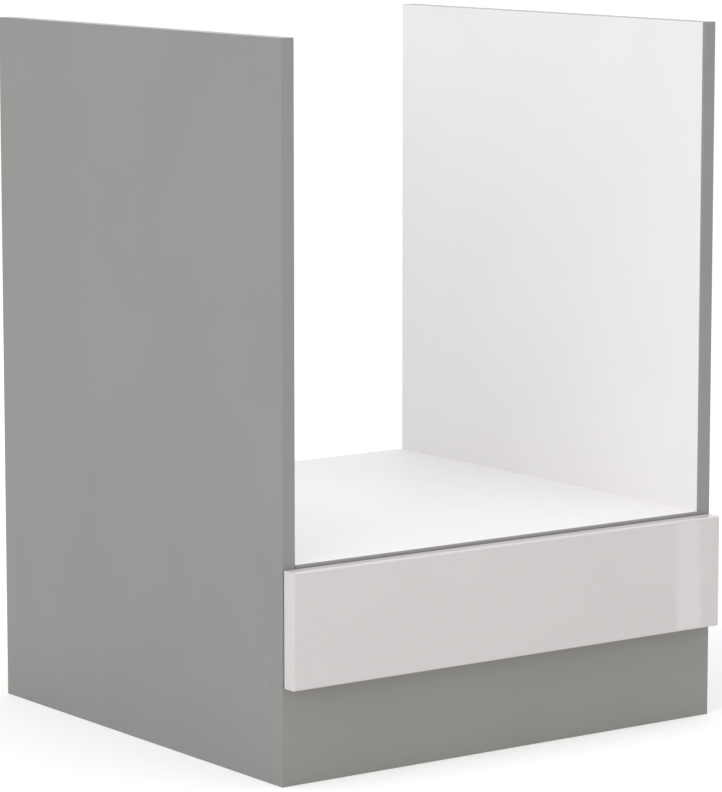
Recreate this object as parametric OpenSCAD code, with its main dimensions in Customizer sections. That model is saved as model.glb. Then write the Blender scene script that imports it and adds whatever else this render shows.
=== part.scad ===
// Built-under oven unit: two full-height side panels with an open niche for the oven between
// them, its shelf, and a low drawer on roller runners above a full-width plinth.
//
// Millimetres. X runs to the right, Y to the back and Z up. The origin is on the floor, under
// the middle of the whole unit, drawer front included. Parts that come as a left and a right
// one are drawn on the left and mirrored.

/* [Carcass] */
// Outer width of the unit
body_w = 600; // [480:10:900]
// Height of the side panels
body_h = 800; // [640:10:1000]
// Depth of the side panels with their front edging
side_depth = 570; // [440:10:720]
// Thickness of the carcass boards
board_t = 18; // [16:1:22]
// Thickness of the front edging, which is also the radius of its corners
edging_t = 2; // [1:0.5:3]

/* [Plinth] */
// Height of the plinth, and of the drawer bay's floor
plinth_h = 112; // [90:1:160]
// Thickness of the plinth board
plinth_t = 22; // [16:1:25]
// How far the plinth stands behind the side panels' front edges
plinth_setback = 0; // [0:0.5:8]

/* [Drawer bay] */
// Clear height between the bottom panel and the oven shelf
bay_h = 110; // [104:1:200]
// Thickness of the back panel
back_t = 3; // [3:1:5]
// Depth of the grooves that hold the back panel
groove_depth = 8; // [5:1:9]
// Distance from the side panels' back edges to the back panel
back_inset = 16; // [10:1:30]

/* [Drawer front] */
// Thickness of the drawer front
front_t = 19; // [16:1:22]
// Gap between the drawer front and the carcass
front_gap = 1; // [1:0.5:4]
// How far the drawer front stops short of the outer sides
front_reveal = 2; // [1:0.5:4]
// How far the shelf shows above the drawer front
shelf_reveal = 4; // [2:1:10]
// How far the drawer front hangs down in front of the plinth
plinth_overlap = 4; // [0:1:10]
// Radius of the drawer front's edges
front_r = 2; // [1:0.5:4]

/* [Drawer] */
// Height of the folded steel drawer sides
drawer_side_h = 86; // [70:1:92]
// Thickness of the drawer base and the drawer back
drawer_board_t = 16; // [12:1:18]
// Height of the drawer back above the base
drawer_back_h = 62; // [40:1:66]
// Thickness of the folded steel sheet
sheet_t = 1.2; // [1:0.1:1.5]
// Length of the drawer sides that stays in the cabinet when the drawer is fully out
length_held = 115; // [100:5:200]

/* [Runners] */
// Radius of the rear rollers, which run inside the cabinet runners
rear_roller_r = 10; // [8:0.5:11]
// Radius of the front rollers, which carry the drawer sides
front_roller_r = 11; // [9:0.5:11.5]
// Width of a roller
roller_w = 7; // [5:0.5:7.5]
// Radius of the roller pins
pin_r = 2.5; // [2:0.25:3]

/* [Fittings] */
// Radius of a cam disc's bore
cam_r = 7.5; // [6:0.5:8]
// How far a cam disc's bore reaches past the cam bolt's axis
cam_over = 4; // [3.5:0.5:5]
// Distance from a board's end to the cam disc's centre
cam_edge = 24; // [20:1:34]
// Radius of the dowels
dowel_r = 4; // [3:0.5:4]
// Length of a dowel
dowel_len = 30; // [24:1:36]
// Spacing of the system holes
hole_pitch = 32; // [32:1:40]

/* [Hidden] */
// One name for each separate piece, or for each set of identical fittings
$fn = 64;

// Colours
GREY_BOARD = "#9A9A98";
GREY_PLINTH = "#8E8C88";
WHITE_BOARD = "#F0EEEF";
GLOSS_FRONT = "#CFCBCA";
WHITE_STEEL = "#E8E8E6";
ZINC = "#B8BABC";
BEECH = "#D9B98A";
NYLON = "#F4F3EE";
HARDBOARD = "#EDEBE8";
SOFT_CLEAR = "#E6E8E8";

// Clearances
seat_gap = 0.3;      // between a piece and the seat that it only rests against
running_gap = 0.05;  // between a pin and its bore, on the radius
hole_gap = 0.1;      // between a fitting and its hole, on the radius
tip_gap = 0.5;       // between the end of a fitting and the end of its blind hole or groove
cut = 1;             // how far a cut runs past the face that it opens

// Carcass
side_x = body_w / 2 - board_t;
front_y = front_t + front_gap - (side_depth + front_gap + front_t) / 2;
back_y = front_y + side_depth;
bay_floor = plinth_h;
bottom_z = bay_floor - board_t;
shelf_z = bay_floor + bay_h;
shelf_top = shelf_z + board_t;
plinth_y = front_y + plinth_setback;
plinth_back_y = plinth_y + plinth_t;
notch_gap = 0.1;
back_panel_y = back_y - back_inset - back_t;
groove_w = back_t + 2 * hole_gap;

// Cam and dowel joints, the same in the shelf and in the bottom panel
joint_inset = 60;
joint_y = [front_y + joint_inset, back_y - joint_inset];
dowel_y = [joint_y[0] + hole_pitch, joint_y[1] - hole_pitch];
joint_z = [bottom_z + board_t / 2, shelf_z + board_t / 2];
cam_depth = board_t / 2 + cam_over;
bolt_thread_r = 2.5;
bolt_thread_len = 11;
bolt_shank_r = 3.5;
bolt_neck_r = 2;
bolt_neck_len = 7;
bolt_head_r = 3;
bolt_head_len = 3;
cam_disc_h = cam_depth - tip_gap;
dowel_in_side = 11;
dowel_end_gap = 1;

// Drawer front
front_back_y = front_y - front_gap;
drawer_front_y = front_back_y - front_t;
front_z = plinth_h - plinth_overlap;
front_w = body_w - 2 * front_reveal;
front_h = shelf_top - shelf_reveal - front_z;

// Cabinet runners. Their outlines are drawn with u, the distance inwards from the side panel,
// and v, the height above the runner's underside.
runner_lift = 8;
runner_z = bay_floor + runner_lift;
runner_step = 50;
runner_setback = 3;
runner_y = front_y + runner_setback;
runner_back_gap = 20;
runner_room = back_panel_y - runner_y - runner_back_gap;
runner_len = runner_step * floor(runner_room / runner_step);
screw_head_h = sheet_t;
head_gap = 0.5;
roller_u = sheet_t + screw_head_h + head_gap;
roller_end_u = roller_u + roller_w;
channel_w = roller_end_u + seat_gap + sheet_t;
lip_rise = 2;
lip_h = sheet_t + lip_rise;
roller_play = 0.9;
channel_h = sheet_t + seat_gap + 2 * rear_roller_r + roller_play + sheet_t;
nose_r = 10;
rear_roller_v = sheet_t + seat_gap + rear_roller_r;

// Drawer sides, drawn with the same u and v
side_u = 3.5;
lip_gap = 1.1;
roof_gap = 1.4;
floor_gap = 1.5;
track_u = channel_w + lip_gap;
track_v = max(channel_h + roof_gap, sheet_t + floor_gap + 2 * front_roller_r + seat_gap);
side_v = 2;
side_top_v = side_v + drawer_side_h;
base_flange_w = 16;
hem_w = 9;
hem_h = 8;
base_v = side_v + sheet_t;
base_x = side_x - track_u - sheet_t - seat_gap;
drawer_side_len = runner_len;
travel = runner_len - length_held;
drawer_end_y = front_back_y + drawer_side_len;
drawer_back_y = drawer_end_y - sheet_t - drawer_board_t;

// Rollers
front_roller_v = track_v - seat_gap - front_roller_r;
front_roller_setback = 3;
front_roller_y = runner_y + front_roller_setback + front_roller_r;
rear_roller_setback = 12;
rear_roller_y = drawer_end_y - rear_roller_setback - rear_roller_r;
roof_setback = 5;
roof_y = front_roller_y + front_roller_r + roof_setback;
shoulder_w = 1.5;
hub_r = pin_r + shoulder_w;
hub_depth = 1.6;
hub_wall = 1.2;
rim_wall = 2;
rear_pin_reach = track_u + sheet_t - roller_end_u;
tread_r = 0.8;
lug_inset = 0.5;
lug_drop = 5;
lug_len = 8;
lug_reach = sqrt(pow(rear_roller_r, 2) - pow(channel_h - sheet_t - lug_drop - rear_roller_v, 2));
lug_y = rear_roller_y - travel - lug_reach - seat_gap;

// Screws
screw_r = 1.75;
screw_head_r = 3.5;
runner_screw_len = 13;
runner_first_row = 6;
runner_screw_rows = [1, 5, floor(runner_len / hole_pitch) - 2];
runner_screw_y = [for (row = runner_screw_rows) runner_row_y(row)];
runner_spare_rows = [
    for (row = [2 : runner_screw_rows[2]]) if (len(search(row, runner_screw_rows)) == 0) row
];
runner_spare_r = 2.25;
base_screw_shares = [0.12, 0.5, 0.84];
base_screw_y = [for (share = base_screw_shares) front_back_y + share * drawer_side_len];
base_screw_u = track_u + sheet_t + base_flange_w / 2;
base_screw_len = 0.75 * drawer_board_t;

// Upright plates of the drawer sides: the tabs behind the drawer back, and the front brackets
plate_gap = [6, 2];
plate_v = [track_v + plate_gap[0], side_top_v - hem_h - plate_gap[1]];
back_tab_w = 20;
back_tab_u = track_u + back_tab_w;
back_screw_len = 16;
back_screw_edge = [7, 12];
back_screw_u = back_tab_u - back_screw_edge[0];
back_screw_v = [plate_v[0] + back_screw_edge[1], plate_v[1] - back_screw_edge[1]];
bracket_t = 1.5;
bracket_len = 50;
bracket_w = 26;
bracket_screw_edge = [8, 9];
bracket_hole_u = side_u + sheet_t + bracket_w - bracket_screw_edge[0];
bracket_hole_v = [plate_v[0] + bracket_screw_edge[1], plate_v[1] - bracket_screw_edge[1]];
bracket_hole_y = [for (share = [0.44, 0.8]) front_back_y + share * bracket_len];
bracket_mid_v = (plate_v[0] + plate_v[1]) / 2;
bracket_screw_len = 12;
bracket_side_screw_len = 4;
bracket_slot_len = 5;

// Bumpers
bumper_r = 4;
bumper_h = front_gap - seat_gap;
bumper_edge = [20, 16];
bumper_z = [front_z + bumper_edge[0], front_z + front_h - bumper_edge[1]];

// Plinth corner blocks
block_x = 0.3 * body_w;
block_w = 40;
block_leg = 22;
block_wall = 5;
block_rib = 3;
block_hole = 13;
block_screw_len = 12;

// Back panel screws
back_panel_screw_shares = [-0.38, -0.15, 0.15, 0.38];
back_panel_screw_x = [for (share = back_panel_screw_shares) share * body_w];
back_panel_screw_len = 16;

// ---- Shared shapes ----

// A child on the left, and the same mirrored to the right
module both_sides() {
    children();
    mirror([1, 0, 0]) children();
}

// Runs an X-Z outline back from y0 to y1
module run_back(y0, y1) {
    translate([0, y1, 0]) rotate([90, 0, 0]) linear_extrude(y1 - y0) children();
}

// Runs a Y-Z outline to the right from x = 0
module run_right(length) {
    rotate([90, 0, 90]) linear_extrude(length) children();
}

// A block from one corner to the opposite one
module block(low, high) {
    translate(low) cube(high - low);
}

// Turns a piece drawn along +Z to lie along X, pointing right (1) or left (-1)
module along_x(way) {
    rotate([0, way * 90, 0]) children();
}

// Turns a piece drawn along +Z to lie along Y, pointing back (1) or forwards (-1)
module along_y(way) {
    rotate([way * -90, 0, 0]) children();
}

// Puts u, v outlines and places of the runners on the left side panel's inner face
module at_left_runner() {
    translate([-side_x, 0, runner_z]) children();
}

// A rectangle with rounded corners, its low corner at the origin
module rounded_rectangle(w, h, r) {
    translate([r, 0]) square([w - 2 * r, h]);
    translate([0, r]) square([w, h - 2 * r]);
    for (x = [r, w - r], y = [r, h - r]) translate([x, y]) circle(r);
}

// A folded sheet seen end on: straight legs from point to point, with round bends
module folded_sheet(path) {
    for (i = [1 : len(path) - 1]) sheet_leg(path[i - 1], path[i]);
    for (point = path) translate(point) circle(sheet_t / 2);
}

module sheet_leg(from, to) {
    run = to - from;
    translate(from) rotate(atan2(run.y, run.x)) translate([0, -sheet_t / 2]) square([norm(run), sheet_t]);
}

// A screw pointing along +Z, the underside of its domed head at z = 0
module pan_screw(length) {
    crown_r = 0.6 * screw_head_r;
    rim_h = 0.4 * screw_head_h;
    tip_len = 2 * screw_r;
    rotate_extrude() polygon([
        [0, -screw_head_h], [crown_r, -screw_head_h], [screw_head_r, -rim_h],
        [screw_head_r, 0], [screw_r, 0], [screw_r, length - tip_len], [0, length]
    ]);
}

// The hole for that screw, from its head's seat down
module screw_hole(length) {
    bore(length + tip_gap, screw_r + hole_gap);
}

// A cylinder along +Z that cuts a bore of this depth from z = 0
module bore(depth, r) {
    translate([0, 0, -cut]) cylinder(h = depth + cut, r = r);
}

// ---- Carcass ----

// Blind holes for the cam bolts and the dowels in the left side panel's inner face
module side_joint_holes() {
    for (z = joint_z, i = [0, 1]) {
        translate([-side_x, joint_y[i], z]) along_x(-1)
            bore(bolt_thread_len + tip_gap, bolt_thread_r + hole_gap);
        translate([-side_x, dowel_y[i], z]) along_x(-1)
            bore(dowel_in_side + dowel_end_gap, dowel_r + hole_gap);
    }
}

// The groove is stopped at the shelf, so that none shows in the oven niche
module side_back_groove() {
    block(
        [-side_x - groove_depth, back_panel_y - hole_gap, bottom_z],
        [-side_x + cut, back_panel_y - hole_gap + groove_w, shelf_z + groove_depth]
    );
}

module side_panel() {
    color(GREY_BOARD) difference() {
        block([-body_w / 2, front_y + edging_t, 0], [-side_x, back_y, body_h]);
        block(
            [-body_w / 2 - cut, front_y, -cut],
            [-side_x + cut, plinth_back_y + notch_gap, plinth_h + notch_gap]
        );
        side_joint_holes();
        side_back_groove();
        runner_screw_places() screw_hole(runner_screw_len);
    }
}

module left_side_panel() {
    side_panel();
}

module right_side_panel() {
    mirror([1, 0, 0]) side_panel();
}

// A strip of edging seen end on: its back on y = edging_t, its two front corners rounded
module edging_outline(w) {
    intersection() {
        rounded_rectangle(w, 3 * edging_t, edging_t);
        square([w, edging_t]);
    }
}

module side_edging() {
    color(GREY_BOARD) translate([-body_w / 2, front_y, plinth_h + notch_gap])
        linear_extrude(body_h - plinth_h - notch_gap) edging_outline(board_t);
}

module left_side_edging() {
    side_edging();
}

module right_side_edging() {
    mirror([1, 0, 0]) side_edging();
}

// Holes in the left end of the shelf or bottom panel whose underside is at z: bores for the cam
// discs from below, and holes for the bolts and dowels from the end
module shelf_joint_holes(z) {
    for (i = [0, 1]) {
        translate([-side_x + cam_edge, joint_y[i], z]) bore(cam_depth, cam_r);
        translate([-side_x, joint_y[i], z + board_t / 2]) along_x(1)
            bore(cam_edge, bolt_shank_r + hole_gap);
        translate([-side_x, dowel_y[i], z + board_t / 2]) along_x(1)
            bore(dowel_len - dowel_in_side + dowel_end_gap, dowel_r + hole_gap);
    }
}

module oven_shelf() {
    color(WHITE_BOARD) difference() {
        block([-side_x, front_y + edging_t, shelf_z], [side_x, back_y, shelf_top]);
        both_sides() shelf_joint_holes(shelf_z);
        block(
            [-side_x - cut, back_panel_y - hole_gap, shelf_z - cut],
            [side_x + cut, back_panel_y - hole_gap + groove_w, shelf_z + groove_depth]
        );
    }
}

module shelf_edging() {
    color(GREY_BOARD) translate([side_x, front_y, shelf_z]) rotate([0, -90, 0])
        linear_extrude(2 * side_x) edging_outline(board_t);
}

module bottom_panel() {
    color(WHITE_BOARD) difference() {
        block([-side_x, plinth_back_y, bottom_z], [side_x, back_panel_y, bay_floor]);
        both_sides() shelf_joint_holes(bottom_z);
        both_sides() block_screw_places() screw_hole(block_screw_len);
        back_panel_screw_places() screw_hole(back_panel_screw_len);
    }
}

module plinth_board() {
    color(GREY_PLINTH) difference() {
        block([-body_w / 2, plinth_y, 0], [body_w / 2, plinth_back_y, plinth_h]);
        both_sides() block_plinth_screw_places() screw_hole(block_screw_len);
    }
}

module back_panel() {
    half_w = side_x + groove_depth - tip_gap;
    top_z = shelf_z + groove_depth - tip_gap;
    color(HARDBOARD) difference() {
        block([-half_w, back_panel_y, bottom_z], [half_w, back_panel_y + back_t, top_z]);
        back_panel_screw_places() screw_hole(back_panel_screw_len);
    }
}

module back_panel_screw_places() {
    for (x = back_panel_screw_x)
        translate([x, back_panel_y + back_t, bottom_z + board_t / 2]) along_y(-1) children();
}

module back_panel_screws() {
    color(ZINC) back_panel_screw_places() pan_screw(back_panel_screw_len);
}

// ---- Cam and dowel joints ----

// The middle of each left-hand cam bore's mouth
module cam_places() {
    for (z = [bottom_z, shelf_z], y = joint_y) translate([-side_x + cam_edge, y, z]) children();
}

// A cam disc that hooks a bolt from the left: it is open at the top, where it slips over the
// bolt's head, and has a cross in its lower face for the screwdriver
module cam_disc() {
    cross = [6, 1, 1.5];
    axis_z = board_t / 2;
    head_room = bolt_head_r + hole_gap + seat_gap;
    neck_room = bolt_neck_r + hole_gap + seat_gap;
    head_half = bolt_head_len / 2 + seat_gap;
    difference() {
        cylinder(h = cam_disc_h, r = cam_r - hole_gap);
        block([-head_half, -head_room, axis_z - head_room], [head_half, head_room, board_t]);
        block([-cam_r - cut, -neck_room, axis_z - neck_room], [0, neck_room, board_t]);
        for (turn = [0, 90]) rotate(turn)
            block([-cross.x / 2, -cross.y / 2, -cut], [cross.x / 2, cross.y / 2, cross.z]);
    }
}

module cam_discs() {
    color(ZINC) both_sides() cam_places() cam_disc();
}

// A cam bolt along +Z: its thread below z = 0, then its shank, neck and head
module cam_bolt() {
    chamfer = 1;
    head_z = cam_edge - bolt_head_len / 2;
    head_end = head_z + bolt_head_len;
    neck_z = head_z - bolt_neck_len;
    rotate_extrude() polygon([
        [0, -bolt_thread_len], [bolt_thread_r - chamfer, -bolt_thread_len],
        [bolt_thread_r, chamfer - bolt_thread_len], [bolt_thread_r, 0],
        [bolt_shank_r, 0], [bolt_shank_r, neck_z], [bolt_neck_r, neck_z + chamfer],
        [bolt_neck_r, head_z], [bolt_head_r, head_z],
        [bolt_head_r, head_end - chamfer], [bolt_head_r - chamfer, head_end], [0, head_end]
    ]);
}

module cam_bolts() {
    color(ZINC) both_sides() for (z = joint_z, y = joint_y)
        translate([-side_x, y, z]) along_x(1) cam_bolt();
}

// A dowel along +Z with chamfered ends
module dowel() {
    chamfer = 1;
    rotate_extrude() polygon([
        [0, 0], [dowel_r - chamfer, 0], [dowel_r, chamfer],
        [dowel_r, dowel_len - chamfer], [dowel_r - chamfer, dowel_len], [0, dowel_len]
    ]);
}

module dowels() {
    color(BEECH) both_sides() for (z = joint_z, y = dowel_y)
        translate([-side_x - dowel_in_side, y, z]) along_x(1) dowel();
}

// ---- Plinth corner blocks ----

module block_screw_places() {
    for (dx = [-1, 1])
        translate([-block_x + dx * block_w / 4, plinth_back_y + block_hole, bottom_z - block_wall])
            children();
}

module block_plinth_screw_places() {
    for (dx = [-1, 1])
        translate([-block_x + dx * block_w / 4, plinth_back_y + block_wall, bottom_z - block_hole])
            along_y(-1) children();
}

// An angle under the bottom panel and behind the plinth, with a rib at each end
module corner_block() {
    leg = block_leg;
    wall = block_wall;
    difference() {
        translate([-block_x - block_w / 2, plinth_back_y, bottom_z]) {
            run_right(block_w)
                polygon([[0, 0], [leg, 0], [leg, -wall], [wall, -wall], [wall, -leg], [0, -leg]]);
            for (x = [0, block_w - block_rib])
                translate([x, 0, 0]) run_right(block_rib) polygon([[0, 0], [leg, 0], [0, -leg]]);
        }
        block_screw_places() screw_hole(block_screw_len);
        block_plinth_screw_places() screw_hole(block_screw_len);
    }
}

module plinth_corner_blocks() {
    color(NYLON) both_sides() corner_block();
}

module corner_block_screws() {
    color(ZINC) both_sides() {
        block_screw_places() pan_screw(block_screw_len);
        block_plinth_screw_places() pan_screw(block_screw_len);
    }
}

// ---- Cabinet runners and front rollers ----

// The folded channel: its lip, floor and web
function channel_path() = let (c = sheet_t / 2) [
    [channel_w - c, lip_h - c], [channel_w - c, c], [c, c], [c, channel_h - c]
];

// The channel's roof, which starts behind the front roller
function roof_path() = let (c = sheet_t / 2) [[c, channel_h - c], [channel_w - c, channel_h - c]];

// A tab bent down from the roof. The rear roller meets it when the drawer is fully out.
module stop_lug(y) {
    low_v = channel_h - sheet_t - lug_drop;
    block([roller_u + lug_inset, y - sheet_t, low_v], [roller_end_u - lug_inset, y, channel_h]);
}

// Where a row of the system holes lies along the runner
function runner_row_y(row) = runner_y + runner_first_row + row * hole_pitch;

// A round cut through the channel's web, centred at height v
module web_hole(y, v, r) {
    translate([0, y, v]) along_x(1) bore(sheet_t + cut, r);
}

// Takes the corner off the web above the front roller, and leaves it round
module nose_cut() {
    difference() {
        block(
            [-cut, runner_y - cut, channel_h - nose_r],
            [sheet_t + cut, runner_y + nose_r, channel_h + cut]
        );
        translate([-2 * cut, runner_y + nose_r, channel_h - nose_r]) along_x(1)
            cylinder(h = sheet_t + 4 * cut, r = nose_r);
    }
}

module runner_screw_places() {
    for (y = runner_screw_y) at_left_runner() translate([sheet_t, y, rear_roller_v]) along_x(-1) children();
}

module cabinet_runner() {
    runner_end_y = runner_y + runner_len;
    color(WHITE_STEEL) difference() {
        at_left_runner() {
            run_back(runner_y, runner_end_y) folded_sheet(channel_path());
            difference() {
                run_back(roof_y, runner_end_y) folded_sheet(roof_path());
                block(
                    [roller_u + lug_inset, lug_y - lug_len, channel_h - sheet_t - cut],
                    [roller_end_u - lug_inset, lug_y - sheet_t, channel_h + cut]
                );
            }
            stop_lug(lug_y);
        }
        at_left_runner() {
            nose_cut();
            for (row = runner_spare_rows) web_hole(runner_row_y(row), rear_roller_v, runner_spare_r);
        }
        runner_screw_places() screw_hole(runner_screw_len);
        at_front_roller() bore(sheet_t + cut, pin_r + running_gap);
    }
}

module left_cabinet_runner() {
    cabinet_runner();
}

module right_cabinet_runner() {
    mirror([1, 0, 0]) cabinet_runner();
}

module cabinet_runner_screws() {
    color(ZINC) both_sides() runner_screw_places() pan_screw(runner_screw_len);
}

// The left front roller's axis along +Z, from the side panel inwards
module at_front_roller() {
    at_left_runner() translate([0, front_roller_y, front_roller_v]) along_x(1) children();
}

// The left rear roller's axis along +Z, from the drawer side outwards; z = 0 is the wall's inner face
module at_rear_roller() {
    at_left_runner() translate([track_u + sheet_t, rear_roller_y, rear_roller_v]) along_x(-1) children();
}

// A roller along +Z: a rounded tread, a bore, a recess for the pin's head and a groove round that
module roller(r) {
    groove_r = hub_r + seat_gap + hub_wall;
    rotate_extrude() difference() {
        intersection() {
            translate([-r, 0]) rounded_rectangle(2 * r, roller_w, tread_r);
            square([r, roller_w]);
        }
        translate([0, -cut]) square([pin_r + running_gap, roller_w + 2 * cut]);
        translate([0, roller_w - hub_depth]) square([hub_r + seat_gap, hub_depth + cut]);
        translate([groove_r, roller_w - hub_depth]) square([r - rim_wall - groove_r, hub_depth + cut]);
    }
}

// A pin along +Z, riveted into a wall as thick as the sheet. A shoulder keeps the roller off that
// wall, and a head sits in the roller's recess.
module roller_pin(roller_start) {
    end = roller_start + roller_w;
    cylinder(h = end, r = pin_r);
    translate([0, 0, sheet_t]) cylinder(h = roller_start - sheet_t - hole_gap, r = hub_r);
    translate([0, 0, end - hub_depth + seat_gap]) cylinder(h = hub_depth - seat_gap, r = hub_r);
}

module front_roller() {
    color(NYLON) at_front_roller() translate([0, 0, roller_u]) roller(front_roller_r);
}

module left_front_roller() {
    front_roller();
}

module right_front_roller() {
    mirror([1, 0, 0]) front_roller();
}

module cabinet_roller_pins() {
    color(ZINC) both_sides() at_front_roller() roller_pin(roller_u);
}

// ---- Drawer ----

module front_slab() {
    intersection() {
        run_back(0, front_t) rounded_rectangle(front_w, front_h, front_r);
        linear_extrude(front_h) rounded_rectangle(front_w, front_t, front_r);
        run_right(front_w) rounded_rectangle(front_t, front_h, front_r);
    }
}

module drawer_front() {
    color(GLOSS_FRONT) difference() {
        translate([-front_w / 2, drawer_front_y, front_z]) front_slab();
        both_sides() front_screw_places() screw_hole(bracket_screw_len);
    }
}

// The folded drawer side: base flange, lower wall, the track that rolls on the front roller, the
// upper wall and the hem round its top edge
function drawer_side_path() = let (c = sheet_t / 2) [
    [track_u + base_flange_w, side_v + c], [track_u + c, side_v + c], [track_u + c, track_v + c],
    [side_u + c, track_v + c], [side_u + c, side_top_v - c],
    [side_u + hem_w - c, side_top_v - c], [side_u + hem_w - c, side_top_v - hem_h + c]
];

module drawer_side() {
    color(WHITE_STEEL) difference() {
        at_left_runner() {
            run_back(front_back_y, drawer_end_y) folded_sheet(drawer_side_path());
            block([side_u, drawer_end_y - sheet_t, plate_v[0]], [back_tab_u, drawer_end_y, plate_v[1]]);
        }
        at_rear_roller() bore(sheet_t + cut, pin_r + running_gap);
        base_screw_places() screw_hole(base_screw_len);
        back_screw_places() screw_hole(back_screw_len);
        bracket_side_screw_places() screw_hole(bracket_side_screw_len);
    }
}

module left_drawer_side() {
    drawer_side();
}

module right_drawer_side() {
    mirror([1, 0, 0]) drawer_side();
}

module base_screw_places() {
    for (y = base_screw_y) at_left_runner() translate([base_screw_u, y, side_v]) children();
}

module back_screw_places() {
    for (v = back_screw_v) at_left_runner()
        translate([back_screw_u, drawer_end_y, v]) along_y(-1) children();
}

module drawer_base() {
    base_z = runner_z + base_v;
    color(WHITE_BOARD) difference() {
        block([-base_x, front_back_y, base_z], [base_x, drawer_end_y - sheet_t, base_z + drawer_board_t]);
        both_sides() base_screw_places() screw_hole(base_screw_len);
    }
}

module drawer_back() {
    back_z = runner_z + base_v + drawer_board_t;
    color(WHITE_BOARD) difference() {
        block(
            [-base_x, drawer_back_y, back_z],
            [base_x, drawer_back_y + drawer_board_t, back_z + drawer_back_h]
        );
        both_sides() back_screw_places() screw_hole(back_screw_len);
    }
}

module drawer_base_screws() {
    color(ZINC) both_sides() base_screw_places() pan_screw(base_screw_len);
}

module drawer_back_screws() {
    color(ZINC) both_sides() back_screw_places() pan_screw(back_screw_len);
}

module drawer_roller_pins() {
    color(ZINC) both_sides() at_rear_roller() roller_pin(rear_pin_reach);
}

// The rear roller is turned round, so that its recess faces the side panel
module rear_roller() {
    color(NYLON) at_rear_roller() translate([0, 0, rear_pin_reach]) roller(rear_roller_r);
}

module left_rear_roller() {
    rear_roller();
}

module right_rear_roller() {
    mirror([1, 0, 0]) rear_roller();
}

// ---- Drawer front fittings ----

module front_screw_places() {
    for (v = bracket_hole_v) at_left_runner()
        translate([bracket_hole_u, front_back_y + bracket_t, v]) along_y(-1) children();
}

module bracket_side_screw_places() {
    for (y = bracket_hole_y) at_left_runner()
        translate([side_u + sheet_t + bracket_t, y, bracket_mid_v]) along_x(-1) children();
}

// A slot through a bracket's plate, along X, or turned. It lets the front be set level.
module slot_cut(turn) {
    r = screw_r + hole_gap;
    reach = bracket_slot_len / 2 - r;
    rotate(turn) translate([0, 0, -cut]) linear_extrude(bracket_t + 2 * cut) {
        square([2 * reach, 2 * r], center = true);
        for (x = [-reach, reach]) translate([x, 0]) circle(r);
    }
}

// An angle: one plate on the drawer front's back, one inside the drawer side's upper wall
module front_bracket() {
    u = side_u + sheet_t;
    color(ZINC) difference() {
        at_left_runner() {
            block([u, front_back_y, plate_v[0]], [u + bracket_w, front_back_y + bracket_t, plate_v[1]]);
            block([u, front_back_y, plate_v[0]], [u + bracket_t, front_back_y + bracket_len, plate_v[1]]);
        }
        front_screw_places() slot_cut(0);
        bracket_side_screw_places() slot_cut(90);
    }
}

module left_front_bracket() {
    front_bracket();
}

module right_front_bracket() {
    mirror([1, 0, 0]) front_bracket();
}

module front_bracket_screws() {
    color(ZINC) both_sides() {
        front_screw_places() pan_screw(bracket_screw_len);
        bracket_side_screw_places() pan_screw(bracket_side_screw_len);
    }
}

// Soft bumpers near the front's corners, which meet the side panels' edging
module front_bumpers() {
    dome_r = 0.6 * bumper_r;
    dome_y = 0.5 * bumper_h;
    color(SOFT_CLEAR) both_sides() for (z = bumper_z)
        translate([-body_w / 2 + board_t / 2, front_back_y, z]) along_y(1) rotate_extrude()
            polygon([[0, 0], [bumper_r, 0], [bumper_r, dome_y], [dome_r, bumper_h], [0, bumper_h]]);
}

left_side_panel();
right_side_panel();
left_side_edging();
right_side_edging();
oven_shelf();
shelf_edging();
bottom_panel();
plinth_board();
back_panel();
back_panel_screws();
cam_discs();
cam_bolts();
dowels();
plinth_corner_blocks();
corner_block_screws();
left_cabinet_runner();
right_cabinet_runner();
cabinet_runner_screws();
cabinet_roller_pins();
left_front_roller();
right_front_roller();
drawer_front();
left_drawer_side();
right_drawer_side();
drawer_base();
drawer_back();
left_front_bracket();
right_front_bracket();
front_bracket_screws();
drawer_base_screws();
drawer_back_screws();
drawer_roller_pins();
front_bumpers();
left_rear_roller();
right_rear_roller();
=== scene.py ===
"""Built-under oven unit: grey carcass, white inside, a low gloss drawer and a full-width plinth."""
import math

import bmesh
import bpy
from mathutils import Matrix, Vector


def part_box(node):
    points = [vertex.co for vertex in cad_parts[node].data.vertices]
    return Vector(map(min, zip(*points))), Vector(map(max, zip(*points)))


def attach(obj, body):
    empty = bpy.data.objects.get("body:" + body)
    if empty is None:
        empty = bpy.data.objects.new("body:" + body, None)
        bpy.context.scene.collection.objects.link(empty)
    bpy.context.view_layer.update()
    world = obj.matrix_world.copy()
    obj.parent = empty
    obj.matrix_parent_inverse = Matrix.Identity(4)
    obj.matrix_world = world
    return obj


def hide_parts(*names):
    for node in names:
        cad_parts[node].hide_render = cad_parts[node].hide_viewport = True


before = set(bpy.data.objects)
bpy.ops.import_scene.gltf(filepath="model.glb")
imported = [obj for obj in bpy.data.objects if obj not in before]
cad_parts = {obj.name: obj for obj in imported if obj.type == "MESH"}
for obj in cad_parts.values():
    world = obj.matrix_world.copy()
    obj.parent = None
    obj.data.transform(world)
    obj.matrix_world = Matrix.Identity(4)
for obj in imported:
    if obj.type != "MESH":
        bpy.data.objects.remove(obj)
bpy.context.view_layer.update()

MM = 0.001
X, Y, Z = range(3)
# The six outer sides of a board, each as its axis and its direction.
LEFT, RIGHT, FRONT, BACK, BELOW, ABOVE = (X, -1), (X, 1), (Y, -1), (Y, 1), (Z, -1), (Z, 1)

WELD = 0.005 * MM               # corners closer than this are one corner
FLAT_ANGLE = math.radians(0.5)  # triangles that meet at less than this are one flat face
EDGE_ANGLE = math.radians(40)   # faces that meet at more than this have an edge between them


# ---- Colour and nodes ----

def linear(hex_colour):
    """An sRGB hex value as the linear colour that Blender's sockets take."""
    parts = [int(hex_colour[i:i + 2], 16) / 255 for i in (1, 3, 5)]
    return [p / 12.92 if p <= 0.04045 else ((p + 0.055) / 1.055) ** 2.4 for p in parts] + [1]


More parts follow.
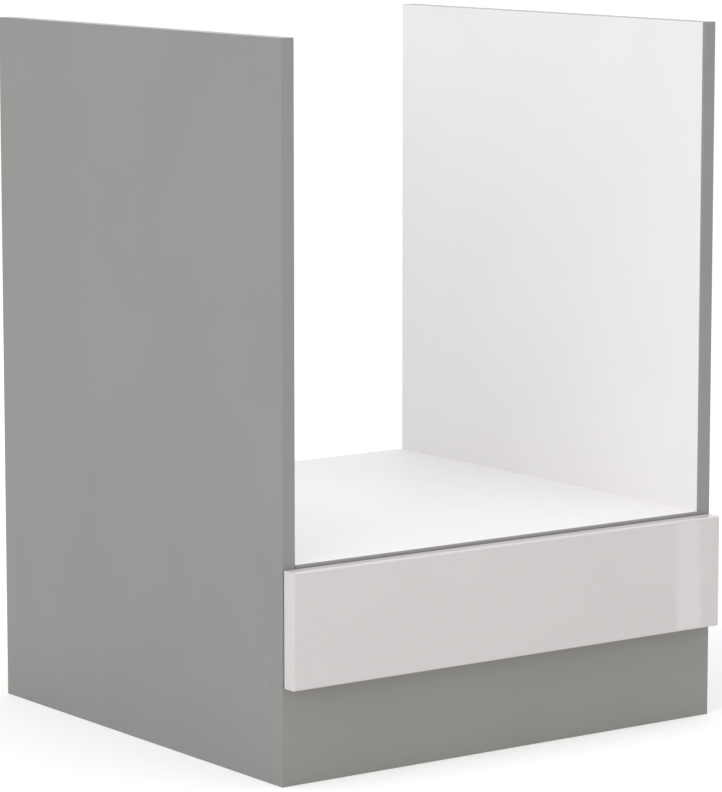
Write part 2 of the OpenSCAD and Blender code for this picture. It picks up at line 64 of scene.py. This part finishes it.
def per_metre(size_mm):
    """The texture scale at which one feature is about that many millimetres."""
    return 1000 / size_mm


def add(tree, kind, sockets=None, **settings):
    """Adds a node, with its settings, its sockets' values, and links where a value is a socket."""
    made = tree.nodes.new(kind)
    for name, value in settings.items():
        setattr(made, name, value)
    for name, value in (sockets or {}).items():
        if isinstance(value, bpy.types.NodeSocket):
            tree.links.new(value, made.inputs[name])
        else:
            made.inputs[name].default_value = value
    return made


def new_material(name, **sockets):
    """A material with a principled shader, and the object coordinates that its patterns read."""
    material = bpy.data.materials.new(name)
    material.use_nodes = True
    tree = material.node_tree
    tree.nodes.clear()
    values = {socket.replace("_", " "): value for socket, value in sockets.items()}
    shader = add(tree, "ShaderNodeBsdfPrincipled", values)
    add(tree, "ShaderNodeOutputMaterial", {"Surface": shader.outputs["BSDF"]})
    where = add(tree, "ShaderNodeTexCoord").outputs["Object"]
    return material, tree, shader, where


def noise(tree, where, size_mm, detail=2, rough=0.5):
    """A cloudy pattern with features of that size."""
    return add(tree, "ShaderNodeTexNoise", {
        "Vector": where, "Scale": per_metre(size_mm), "Detail": detail, "Roughness": rough,
    }).outputs["Fac"]


def stretched(tree, where, axis, share):
    """Object coordinates squeezed along one axis to a share, which draws a pattern out along it."""
    scale = [share if a == axis else 1 for a in (X, Y, Z)]
    return add(tree, "ShaderNodeMapping", {"Vector": where, "Scale": scale}).outputs["Vector"]


def span(tree, value, low, high, from_low=0.3, from_high=0.7):
    """A pattern's middle range spread from low to high."""
    return add(tree, "ShaderNodeMapRange", {
        "Value": value, "From Min": from_low, "From Max": from_high, "To Min": low, "To Max": high,
    }).outputs["Result"]


def blend(tree, factor, first, second):
    """Two colours mixed by a pattern. Each is a hex value or another pattern's colour."""
    colours = [c if isinstance(c, bpy.types.NodeSocket) else linear(c) for c in (first, second)]
    # A Mix node's colour sockets share their names with others, so they go by number.
    sockets = {0: factor, 6: colours[0], 7: colours[1]}
    return add(tree, "ShaderNodeMix", sockets, data_type="RGBA").outputs[2]


def colour_and_gloss(tree, shader, colour, roughness):
    """Links a colour pattern and a roughness pattern."""
    tree.links.new(colour, shader.inputs["Base Color"])
    tree.links.new(roughness, shader.inputs["Roughness"])


def relief(tree, shader, height, depth_mm):
    """Gives the shader a bump of that depth."""
    bump = add(tree, "ShaderNodeBump", {"Height": height, "Distance": depth_mm * MM, "Strength": 1})
    tree.links.new(bump.outputs["Normal"], shader.inputs["Normal"])


# ---- Materials ----

def melamine(name, colour, shade):
    """Melamine paper pressed on chipboard: an even, matt colour, and a pearl grain in its sheen."""
    material, tree, shader, where = new_material(name, IOR=1.5)
    cloud = span(tree, noise(tree, where, 140), 0, 1)
    # The real grain is about 0.6 mm. It is drawn at 2.5 mm, because finer doesn't show.
    grain = noise(tree, where, 2.5, detail=3)
    colour_and_gloss(tree, shader, blend(tree, cloud, colour, shade), span(tree, grain, 0.42, 0.54))
    relief(tree, shader, grain, 0.02)
    return material


def edging(name, along, colour, shade):
    """Extruded ABS edging: the board's colour, a little smoother, with faint lines along it."""
    material, tree, shader, where = new_material(name, IOR=1.52)
    lines = noise(tree, stretched(tree, where, along, 0.02), 1.2)
    cloud = span(tree, noise(tree, where, 60), 0, 1)
    colour_and_gloss(tree, shader, blend(tree, cloud, colour, shade), span(tree, lines, 0.27, 0.34))
    relief(tree, shader, lines, 0.01)
    return material


def chipboard():
    """Sawn chipboard core: pale and dark wood chips a millimetre or two long, matt and rough."""
    material, tree, shader, where = new_material("chipboard_sawn")
    chips = add(tree, "ShaderNodeTexVoronoi", {"Vector": where, "Scale": per_metre(2.2)})
    tone = add(tree, "ShaderNodeSeparateColor", {"Color": chips.outputs["Color"]}).outputs["Red"]
    wood = blend(tree, tone, "#B79A72", "#D8C19B")
    dust = noise(tree, where, 0.8, detail=3)
    dusty = blend(tree, span(tree, dust, 0, 0.5), wood, "#8C7048")
    colour_and_gloss(tree, shader, dusty, span(tree, dust, 0.8, 0.95))
    relief(tree, shader, dust, 0.15)
    return material


def gloss_foil():
    """High-gloss foil wrapped on MDF: a clear mirror sheen with the faintest orange peel."""
    material, tree, shader, where = new_material("gloss_foil_on_mdf", IOR=1.46)
    cloud = span(tree, noise(tree, where, 220), 0, 1)
    peel = noise(tree, where, 9, detail=1)
    colour = blend(tree, cloud, "#DAD6D5", "#D8D4D3")
    colour_and_gloss(tree, shader, colour, span(tree, peel, 0.035, 0.05))
    relief(tree, shader, peel, 0.004)
    return material


def lacquered_hardboard():
    """The lacquered face of hardboard: thin white paint over a pressed, slightly wavy board."""
    material, tree, shader, where = new_material("lacquered_hardboard", IOR=1.48)
    wave = noise(tree, where, 7, detail=3)
    colour = blend(tree, span(tree, wave, 0, 1), "#EDEBE8", "#E7E4E0")
    colour_and_gloss(tree, shader, colour, span(tree, wave, 0.38, 0.5))
    relief(tree, shader, wave, 0.02)
    return material


def bare_hardboard():
    """The bare face of hardboard: brown felted fibres with the print of the press's wire screen."""
    material, tree, shader, where = new_material("bare_hardboard")
    fibres = noise(tree, stretched(tree, where, X, 0.35), 2.4, detail=5, rough=0.7)
    screen = add(tree, "ShaderNodeTexVoronoi", {
        "Vector": where, "Scale": per_metre(3), "Randomness": 0.15}).outputs["Distance"]
    colour = blend(tree, span(tree, fibres, 0, 1), "#9C7448", "#7E5A36")
    colour_and_gloss(tree, shader, colour, span(tree, fibres, 0.7, 0.9))
    relief(tree, shader, screen, 0.12)
    return material


def beech():
    """Turned beech: pale pinkish wood with fine darker flecks along its length."""
    material, tree, shader, where = new_material("turned_beech", IOR=1.45)
    grain = noise(tree, stretched(tree, where, X, 0.08), 1.1, detail=4)
    colour = blend(tree, span(tree, grain, 0, 1), "#DDBB8C", "#B98B58")
    colour_and_gloss(tree, shader, colour, span(tree, grain, 0.5, 0.65))
    relief(tree, shader, grain, 0.03)
    return material


def powder_coat():
    """White powder coat on folded steel: satin, with the fine orange peel of baked powder."""
    material, tree, shader, where = new_material("powder_coated_steel", IOR=1.5)
    peel = noise(tree, where, 1.6, detail=2)
    colour = blend(tree, span(tree, peel, 0, 1), "#E6E6E4", "#E1E1DF")
    colour_and_gloss(tree, shader, colour, span(tree, peel, 0.28, 0.36))
    relief(tree, shader, peel, 0.02)
    return material


def zinc_plate():
    """Bright zinc plating on steel: cool grey metal with a faintly mottled, bluish film."""
    material, tree, shader, where = new_material("zinc_plated_steel", Metallic=1)
    film = noise(tree, where, 4, detail=3)
    colour = blend(tree, span(tree, film, 0, 1), "#C9CED4", "#BFC1BE")
    colour_and_gloss(tree, shader, colour, span(tree, film, 0.25, 0.38))
    return material


def cast_zinc():
    """Die-cast zinc alloy: duller grey metal with the fine grain of the mould."""
    material, tree, shader, where = new_material("cast_zinc_alloy", Metallic=1)
    grain = noise(tree, where, 0.7, detail=3)
    colour = blend(tree, span(tree, grain, 0, 1), "#A9ABAD", "#96989A")
    colour_and_gloss(tree, shader, colour, span(tree, grain, 0.42, 0.56))
    relief(tree, shader, grain, 0.02)
    return material


def nylon():
    """Moulded natural nylon: milky white, light carries a little way into it, a soft sheen."""
    material, tree, shader, where = new_material(
        "moulded_nylon", IOR=1.53, Subsurface_Weight=0.15, Subsurface_Scale=1 * MM)
    swirl = noise(tree, where, 3, detail=2)
    colour = blend(tree, span(tree, swirl, 0, 1), "#F1F0EA", "#E9E8E0")
    colour_and_gloss(tree, shader, colour, span(tree, swirl, 0.32, 0.42))
    return material


def moulded_polypropylene():
    """Moulded polypropylene: white plastic with a fine sparked texture that dulls it."""
    material, tree, shader, where = new_material("moulded_polypropylene", IOR=1.49)
    spark = noise(tree, where, 0.9, detail=3)
    colour = blend(tree, span(tree, spark, 0, 1), "#E9E9E6", "#E2E2DF")
    colour_and_gloss(tree, shader, colour, span(tree, spark, 0.48, 0.6))
    relief(tree, shader, spark, 0.03)
    return material


def clear_polyurethane():
    """Cast clear polyurethane: a soft bumper that light passes through, a little cloudy."""
    material, tree, shader, where = new_material(
        "cast_clear_polyurethane", IOR=1.5, Transmission_Weight=0.85)
    haze = noise(tree, where, 1.5)
    colour = blend(tree, span(tree, haze, 0, 1), "#F2F4F4", "#E8EBEB")
    colour_and_gloss(tree, shader, colour, span(tree, haze, 0.12, 0.25))
    return material


GREY = melamine("grey_melamine", "#919190", "#8E8E8C")
WHITE = melamine("white_melamine", "#F1EFF1", "#EFEDEF")
PLINTH = melamine("plinth_melamine", "#96948F", "#94928D")
EDGE_ALONG_X, EDGE_ALONG_Y, EDGE_ALONG_Z = (
    edging(f"grey_abs_edging_along_{letter}", axis, "#939290", "#90908E")
    for axis, letter in enumerate("xyz"))
CORE = chipboard()
FOIL = gloss_foil()
HARDBOARD_FACE = lacquered_hardboard()
HARDBOARD_BACK = bare_hardboard()
BEECH = beech()
STEEL = powder_coat()
ZINC = zinc_plate()
CAST = cast_zinc()
NYLON = nylon()
PLASTIC = moulded_polypropylene()
CLEAR = clear_polyurethane()


# ---- Pieces ----

def new_piece(mesh, name, body, node, materials):
    """Makes the object, rides it on its body and hides the CAD node that it stands for."""
    data = bpy.data.meshes.new(name)
    mesh.to_mesh(data)
    mesh.free()
    for material in materials:
        data.materials.append(material)
    data.shade_smooth()
    data.set_sharp_from_angle(angle=EDGE_ANGLE)
    piece = bpy.data.objects.new(name, data)
    bpy.context.scene.collection.objects.link(piece)
    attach(piece, body)
    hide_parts(node)
    return piece


def break_edges(piece, width_mm, steps=2):
    """Rounds off a piece's sharp edges."""
    bevel = piece.modifiers.new("eased_edges", "BEVEL")
    bevel.width = width_mm * MM
    bevel.segments = steps
    bevel.use_clamp_overlap = False
    bevel.limit_method = "ANGLE"
    bevel.angle_limit = EDGE_ANGLE
    return bevel


def keep_flat(piece):
    """Lets the widest face set each corner's normal, so that flat faces look flat all over."""
    weighted = piece.modifiers.new("flat_faces", "WEIGHTED_NORMAL")
    weighted.mode = "FACE_AREA"
    weighted.weight = 100
    weighted.keep_sharp = True


def merged_copy(node):
    """A CAD node's shape with its loose triangles joined back into whole flat faces."""
    mesh = bmesh.new()
    mesh.from_mesh(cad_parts[node].data)
    bmesh.ops.remove_doubles(mesh, verts=mesh.verts, dist=WELD)
    bmesh.ops.dissolve_limit(mesh, angle_limit=FLAT_ANGLE, verts=mesh.verts, edges=mesh.edges)
    return mesh


def eased(node, body, material, width_mm):
    """A CAD piece with its edges broken."""
    piece = new_piece(merged_copy(node), node + "_eased", body, node, [material])
    break_edges(piece, width_mm)
    keep_flat(piece)


def folded(node, body, material):
    """A piece of folded sheet. Its bends are round and its sheared edges stay sharp."""
    keep_flat(new_piece(merged_copy(node), node + "_folded", body, node, [material]))


def outer_side(face, low, high):
    """Which side of its box a face lies on, as (axis, -1 or 1), or None inside a cut."""
    square_on = 0.99   # a normal with more than this along an axis faces that way
    reach = 0.05 * MM  # a face nearer than this to a side of the box is part of that side
    middle = face.calc_center_median()
    for axis in (X, Y, Z):
        if abs(face.normal[axis]) > square_on:
            way = 1 if face.normal[axis] > 0 else -1
            edge = high[axis] if way > 0 else low[axis]
            if abs(middle[axis] - edge) < reach:
                return axis, way
    return None


def board(node, body, faces, rest=CORE, width_mm=0.15, edge_material=None):
    """A board with broken edges. faces gives each outer side's material, rest the others'.

    The broken edges take the material beside them, or edge_material where it is given.
    """
    mesh = merged_copy(node)
    low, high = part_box(node)
    materials = list(dict.fromkeys([*faces.values(), rest]))
    for face in mesh.faces:
        face.material_index = materials.index(faces.get(outer_side(face, low, high), rest))
    piece = new_piece(mesh, node + "_board", body, node, materials)
    bevel = break_edges(piece, width_mm)
    if edge_material:
        bevel.material = materials.index(edge_material)
    keep_flat(piece)


def wrapped_slab(node, body, foil, back, front_r_mm, back_r_mm, wrap_mm):
    """A slab, round in front and crisper behind. Its foil folds a little way onto the back."""
    low, high = (Vector(corner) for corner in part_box(node))
    middle = (low + high) / 2
    dent_mm = 0.1  # how far the bare field on the back lies below the foil
    mesh = bmesh.new()
    bmesh.ops.create_cube(mesh, size=1)
    bmesh.ops.scale(mesh, verts=mesh.verts, vec=high - low)
    bmesh.ops.translate(mesh, verts=mesh.verts, vec=middle)
    share = mesh.edges.layers.float.new("bevel_weight_edge")
    for edge in mesh.edges:
        at_front = all(vert.co.y < middle.y for vert in edge.verts)
        edge[share] = 1 if at_front else back_r_mm / front_r_mm
    field = max(mesh.faces, key=lambda face: face.normal.y)
    bmesh.ops.inset_region(mesh, faces=[field], thickness=wrap_mm * MM, depth=-dent_mm * MM)
    materials = [foil, back]
    field.material_index = materials.index(back)
    piece = new_piece(mesh, node + "_slab", body, node, materials)
    bevel = break_edges(piece, front_r_mm, steps=6)
    bevel.limit_method = "WEIGHT"
    keep_flat(piece)


# ---- Turned pieces ----

def solids(node):
    """The corner points of each separate solid in a CAD node."""
    mesh = merged_copy(node)
    seen = set()
    found = []
    for first in mesh.verts:
        if first in seen:
            continue
        seen.add(first)
        reached = [first]
        # The loop goes on through the points that it adds, until the whole solid is reached.
        for vert in reached:
            fresh = [v for edge in vert.link_edges for v in edge.verts if v not in seen]
            seen.update(fresh)
            reached.extend(fresh)
        found.append([vert.co.copy() for vert in reached])
    mesh.free()
    return found


def seat(points, outwards):
    """A turned solid's length, its widest radius, and its place, with Z from its wide end.

    With outwards, Z points away from the middle of the unit instead.
    """
    low = Vector([min(p[a] for p in points) for a in (X, Y, Z)])
    high = Vector([max(p[a] for p in points) for a in (X, Y, Z)])
    size = high - low
    middle = (low + high) / 2
    # The axis is the one across which the solid is as wide as it is deep.
    axis = min((X, Y, Z), key=lambda a: abs(size[a - 1] - size[a - 2]))
    length = size[axis]
    radius = size[axis - 1] / 2
    rim_r = 0.98 * radius
    rim = [p[axis] for p in points
           if math.hypot(p[axis - 1] - middle[axis - 1], p[axis - 2] - middle[axis - 2]) > rim_r]
    way = 1 if sum(rim) / len(rim) < middle[axis] else -1
    if outwards:
        way = 1 if middle.x > 0 else -1
    start = middle.copy()
    start[axis] = low[axis] if way > 0 else high[axis]
    ahead = Vector()
    ahead[axis] = way
    turn = ahead.to_track_quat("Z", "Y").to_matrix().to_4x4()
    return length, radius, Matrix.Translation(start) @ turn


def ring_of(geometry):
    """The edges of a new ring, out of what an extrusion gives back, in the same order each run."""
    verts = dict.fromkeys(g for g in geometry if isinstance(g, bmesh.types.BMVert))
    edges = dict.fromkeys(edge for vert in verts for edge in vert.link_edges)
    return [edge for edge in edges if all(vert in verts for vert in edge.verts)]


def draw_out(mesh, ring, radius, height, flute=0, flutes=1):
    """Extends a ring round Z to a radius and height. Every other point is drawn in by flute."""
    geometry = bmesh.ops.extrude_edge_only(mesh, edges=ring)["geom"]
    for vert in (g for g in geometry if isinstance(g, bmesh.types.BMVert)):
        turn = math.atan2(vert.co.y, vert.co.x)
        reach = radius - flute * (round(turn / math.tau * 2 * flutes) % 2)
        vert.co = (reach * math.cos(turn), reach * math.sin(turn), height)
    return ring_of(geometry)


def turn_solid(mesh, outline, points=24, flute=0):
    """A closed solid round Z through (radius, height) rings, in metres, flat at both ends.

    A ring with a third value is fluted.
    """
    (radius, height), *others = outline
    verts = bmesh.ops.create_circle(mesh, cap_ends=True, segments=points, radius=radius)["verts"]
    bmesh.ops.translate(mesh, verts=verts, vec=(0, 0, height))
    ring = ring_of(verts)
    for radius, height, *fluted in others:
        ring = draw_out(mesh, ring, radius, height, flute if fluted else 0, points // 2)
    bmesh.ops.edgeloop_fill(mesh, edges=ring)


def thread(mesh, root_r, crest_r, start, end, pitch):
    """A helical ridge round Z, made by spinning its section as it climbs."""
    steps_a_turn = 14
    half_ridge = 0.3 * pitch
    steps = round((end - start) / pitch * steps_a_turn)
    ridge = ((root_r, -half_ridge), (crest_r, 0), (root_r, half_ridge))
    section = [mesh.verts.new((radius, 0, start + rise)) for radius, rise in ridge]
    face = mesh.faces.new(section)
    bmesh.ops.spin(
        mesh, geom=[*section, *face.edges, face], cent=(0, 0, 0), axis=(0, 0, 1),
        dvec=(0, 0, (end - start) / steps), angle=math.tau * steps / steps_a_turn, steps=steps)


def cross_recess(mesh, rim, reach, half_width, depth):
    """Fills a flat rim with a face that has a tapered cross sunk in it, for the screwdriver."""
    floor_share = 0.7
    corner = ((reach, -half_width), (reach, half_width), (half_width, half_width))
    outline = [mesh.verts.new(Matrix.Rotation(quarter * math.tau / 4, 3, "Z") @ Vector((x, y, 0)))
               for quarter in range(4) for x, y in corner]
    cross = [mesh.edges.new(pair) for pair in zip(outline, outline[1:] + outline[:1])]
    bmesh.ops.triangle_fill(mesh, use_beauty=True, edges=[*rim, *cross])
    walls = bmesh.ops.extrude_edge_only(mesh, edges=cross)["geom"]
    floor = [g for g in walls if isinstance(g, bmesh.types.BMVert)]
    bmesh.ops.scale(mesh, verts=floor, vec=(floor_share, floor_share, 1))
    bmesh.ops.translate(mesh, verts=floor, vec=(0, 0, depth))
    bmesh.ops.edgeloop_fill(mesh, edges=ring_of(walls))


def screw(mesh, length, head_r):
    """A pan-head screw along Z from its head, with a cross recess and a rolled thread."""
    head_h, shank_r, root_r, pitch = 1.2 * MM, 1.75 * MM, 1.3 * MM, 1.2 * MM
    point = length - 2 * shank_r  # where the tip begins to taper
    crown = bmesh.ops.create_circle(mesh, segments=24, radius=0.6 * head_r)["verts"]
    ring = ring_of(crown)
    cross_recess(mesh, ring, reach=0.5 * head_r, half_width=0.1 * head_r, depth=0.75 * head_h)
    head = ((0.85 * head_r, 0.2 * head_h), (head_r, 0.6 * head_h), (head_r, head_h))
    shank = ((root_r, head_h), (root_r, max(point, head_h + pitch)), (0.15 * root_r, length))
    for radius, height in (*head, *shank):
        ring = draw_out(mesh, ring, radius, height)
    bmesh.ops.edgeloop_fill(mesh, edges=ring)
    thread(mesh, root_r, shank_r, head_h + 0.5 * pitch, max(point, head_h + 1.5 * pitch), pitch)


def cam_bolt(mesh, length, collar_r):
    """A cam bolt along Z from its head: round head, thin neck, collar, and a coarse wood thread."""
    head_r, neck_r, root_r, thread_r = 3 * MM, 2 * MM, 1.8 * MM, 2.5 * MM
    head_end, neck_end, thread_len, ease = 3 * MM, 9 * MM, 11 * MM, 0.6 * MM
    collar_end = length - thread_len
    head = ((head_r - ease, 0), (head_r, ease), (head_r, head_end - 0.3 * ease))
    neck = ((neck_r, head_end), (neck_r, neck_end))
    collar = ((collar_r, neck_end + 1 * MM), (collar_r, collar_end - 0.5 * ease),
              (collar_r - 0.5 * ease, collar_end))
    core = ((root_r, collar_end), (root_r, length - 2 * ease), (0.4 * root_r, length))
    turn_solid(mesh, (*head, *neck, *collar, *core))
    thread(mesh, root_r, thread_r, start=collar_end + 1 * MM, end=length - 1.6 * MM, pitch=2 * MM)


def dowel(mesh, length, radius):
    """A fluted dowel along Z with chamfered ends. The flutes let glue and air past."""
    chamfer = 1 * MM
    turn_solid(mesh, (
        (radius - chamfer, 0), (radius, chamfer, "fluted"), (radius, length - chamfer, "fluted"),
        (radius - chamfer, length)), points=32, flute=0.35 * MM)


def bumper(mesh, height, radius):
    """A soft bumper along Z from its glued face: a low dome with a rounded top."""
    # The outline goes by shares of the radius and of the height.
    dome = ((1, 0), (1, 0.3), (0.96, 0.6), (0.86, 0.84), (0.7, 0.96), (0.5, 1))
    turn_solid(mesh, [(out * radius, up * height) for out, up in dome], points=32)


def turned_set(node, body, material, make, outwards=False):
    """Replaces each solid of a CAD node by a turned shape of its length and radius."""
    whole = bmesh.new()
    for points in solids(node):
        length, radius, place = seat(points, outwards)
        one = bmesh.new()
        make(one, length, radius)
        bmesh.ops.recalc_face_normals(one, faces=one.faces)
        one.transform(place)
        data = bpy.data.meshes.new(node)
        one.to_mesh(data)
        one.free()
        whole.from_mesh(data)
        bpy.data.meshes.remove(data)
    keep_flat(new_piece(whole, node + "_turned", body, node, [material]))


# ---- Carcass ----

for side, inner, outer in (("left", RIGHT, LEFT), ("right", LEFT, RIGHT)):
    board(side + "_side_panel", "cabinet", {
        inner: WHITE, outer: GREY, ABOVE: EDGE_ALONG_Y, FRONT: EDGE_ALONG_Z}, edge_material=GREY)
    eased(side + "_side_edging", "cabinet", EDGE_ALONG_Z, 0.15)

board("oven_shelf", "cabinet", {ABOVE: WHITE, BELOW: WHITE})
eased("shelf_edging", "cabinet", EDGE_ALONG_X, 0.15)
board("bottom_panel", "cabinet", {ABOVE: WHITE, BELOW: WHITE})
board("plinth_board", "cabinet", {
    FRONT: PLINTH, BACK: PLINTH, LEFT: GREY, RIGHT: GREY, ABOVE: PLINTH})
board("back_panel", "cabinet", {FRONT: HARDBOARD_FACE, BACK: HARDBOARD_BACK},
      rest=HARDBOARD_BACK, width_mm=0.2)
eased("plinth_corner_blocks", "cabinet", PLASTIC, 0.4)
eased("cam_discs", "cabinet", CAST, 0.2)
turned_set("cam_bolts", "cabinet", ZINC, cam_bolt, outwards=True)
turned_set("dowels", "cabinet", BEECH, dowel, outwards=True)

# ---- Runners ----

for side in ("left", "right"):
    folded(side + "_cabinet_runner", "cabinet", STEEL)
    eased(side + "_drawer_side", "drawer", STEEL, 0.15)
    eased(side + "_front_bracket", "drawer", ZINC, 0.3)
    for end in ("front", "rear"):
        roller = f"{side}_{end}_roller"
        eased(roller, roller, NYLON, 0.2)
eased("cabinet_roller_pins", "cabinet", ZINC, 0.2)
eased("drawer_roller_pins", "drawer", ZINC, 0.2)

# ---- Drawer ----

for node in ("drawer_base", "drawer_back"):
    board(node, "drawer", dict.fromkeys(
        (ABOVE, BELOW, FRONT, BACK, LEFT, RIGHT), WHITE))
wrapped_slab("drawer_front", "drawer", FOIL, WHITE,
             front_r_mm=2, back_r_mm=0.6, wrap_mm=9)
turned_set("front_bumpers", "drawer", CLEAR, bumper)

# ---- Screws ----

for node, body in (
        ("back_panel_screws", "cabinet"), ("corner_block_screws", "cabinet"),
        ("cabinet_runner_screws", "cabinet"), ("front_bracket_screws", "drawer"),
        ("drawer_base_screws", "drawer"), ("drawer_back_screws", "drawer")):
    turned_set(node, body, ZINC, screw)


# ---- Studio ----

def area_lamp(name, size, power):
    """A rectangular lamp, not yet placed, with its size in metres and its power in watts."""
    data = bpy.data.lights.new(name, "AREA")
    data.shape = "RECTANGLE"
    data.size, data.size_y = size
    data.energy = power
    lamp = bpy.data.objects.new(name, data)
    bpy.context.scene.collection.objects.link(lamp)
    return lamp


def soft_light(name, place, aim, size, power):
    """A large soft lamp that faces the unit."""
    lamp = area_lamp(name, size, power)
    lamp.location = place
    lamp.rotation_euler = (Vector(aim) - Vector(place)).to_track_quat("-Z", "Y").to_euler()


def light_bar(name, start, end, width, power):
    """A narrow lamp on the floor. Only gloss shows it, as an upright band on the front."""
    lift = 0.5 * MM
    start, end = Vector((*start, lift)), Vector((*end, lift))
    run = end - start
    lamp = area_lamp(name, (run.length, width), power)
    lamp.location = (start + end) / 2
    lamp.rotation_euler = (math.pi, 0, math.atan2(run.y, run.x))
    lamp.visible_camera = False
    lamp.visible_diffuse = False


def seen_white(tree):
    """1 for what the camera, a reflection or clear plastic sees, and 0 for light on the unit."""
    path = add(tree, "ShaderNodeLightPath").outputs
    seen = path["Is Camera Ray"]
    for ray in ("Is Glossy Ray", "Is Transmission Ray"):
        both = {0: seen, 1: path[ray]}
        seen = add(tree, "ShaderNodeMath", both, operation="ADD", use_clamp=True).outputs[0]
    return seen


def studio_world(strength):
    """Even light from all round, in front of a white background."""
    world = bpy.data.worlds.new("studio")
    bpy.context.scene.world = world
    world.use_nodes = True
    tree = world.node_tree
    tree.nodes.clear()
    light, white = (
        add(tree, "ShaderNodeBackground", {"Color": (1, 1, 1, 1), "Strength": level}).outputs[0]
        for level in (strength, 1))
    both = add(tree, "ShaderNodeMixShader", {0: seen_white(tree), 1: light, 2: white})
    add(tree, "ShaderNodeOutputWorld", {"Surface": both.outputs[0]})


def floor_paint():
    """Pale floor paint. It glows a little where it is seen, so that it meets the background."""
    material = bpy.data.materials.new("studio_floor")
    material.use_nodes = True
    tree = material.node_tree
    tree.nodes.clear()
    paint = add(tree, "ShaderNodeBsdfDiffuse", {"Color": (0.8, 0.8, 0.8, 1)})
    # The glow grows from beside the unit, where the shadow lies, to 3 m away.
    where = add(tree, "ShaderNodeTexCoord").outputs["Object"]
    away = add(tree, "ShaderNodeVectorMath", {0: where}, operation="LENGTH").outputs["Value"]
    strength = span(tree, away, 0.3, 0.43, from_low=0.6, from_high=3)
    glow = add(tree, "ShaderNodeEmission", {"Color": (1, 1, 1, 1), "Strength": strength})
    none = add(tree, "ShaderNodeEmission", {"Strength": 0})
    seen = add(tree, "ShaderNodeMixShader", {
        0: seen_white(tree), 1: none.outputs[0], 2: glow.outputs[0]})
    both = add(tree, "ShaderNodeAddShader", {0: paint.outputs[0], 1: seen.outputs[0]})
    add(tree, "ShaderNodeOutputMaterial", {"Surface": both.outputs[0]})
    return material


def studio_floor(half_width):
    """A wide flat floor that isn't part of the object."""
    mesh = bmesh.new()
    bmesh.ops.create_grid(mesh, x_segments=1, y_segments=1, size=half_width)
    data = bpy.data.meshes.new("floor")
    mesh.to_mesh(data)
    mesh.free()
    data.materials.append(floor_paint())
    floor = bpy.data.objects.new("floor", data)
    bpy.context.scene.collection.objects.link(floor)


def photo_camera(place, tilt_down, turn_right, lens):
    """A camera where the photograph was taken from: angles in degrees, lens in millimetres."""
    data = bpy.data.cameras.new("camera")
    data.lens = lens
    camera = bpy.data.objects.new("camera", data)
    camera.location = place
    camera.rotation_euler = [math.radians(angle) for angle in (90 - tilt_down, 0, -turn_right)]
    bpy.context.scene.collection.objects.link(camera)
    bpy.context.scene.camera = camera


studio_world(strength=0.75)
studio_floor(half_width=60)
soft_light("key_light", (-3.6, -1.6, 2.2), aim=(0, 0, 0.4), size=(2.4, 2.4), power=39)
soft_light("top_light", (0, -0.3, 3.6), aim=(0, 0, 0), size=(3, 3), power=38)
light_bar("floor_light", (0.589, -0.682), (1.113, -1.291), width=0.031, power=0.105)
photo_camera((-2.62189, -3.61528, 1.01369), tilt_down=8.255, turn_right=35.988, lens=177.152)
bpy.context.scene.view_settings.view_transform = "Standard"
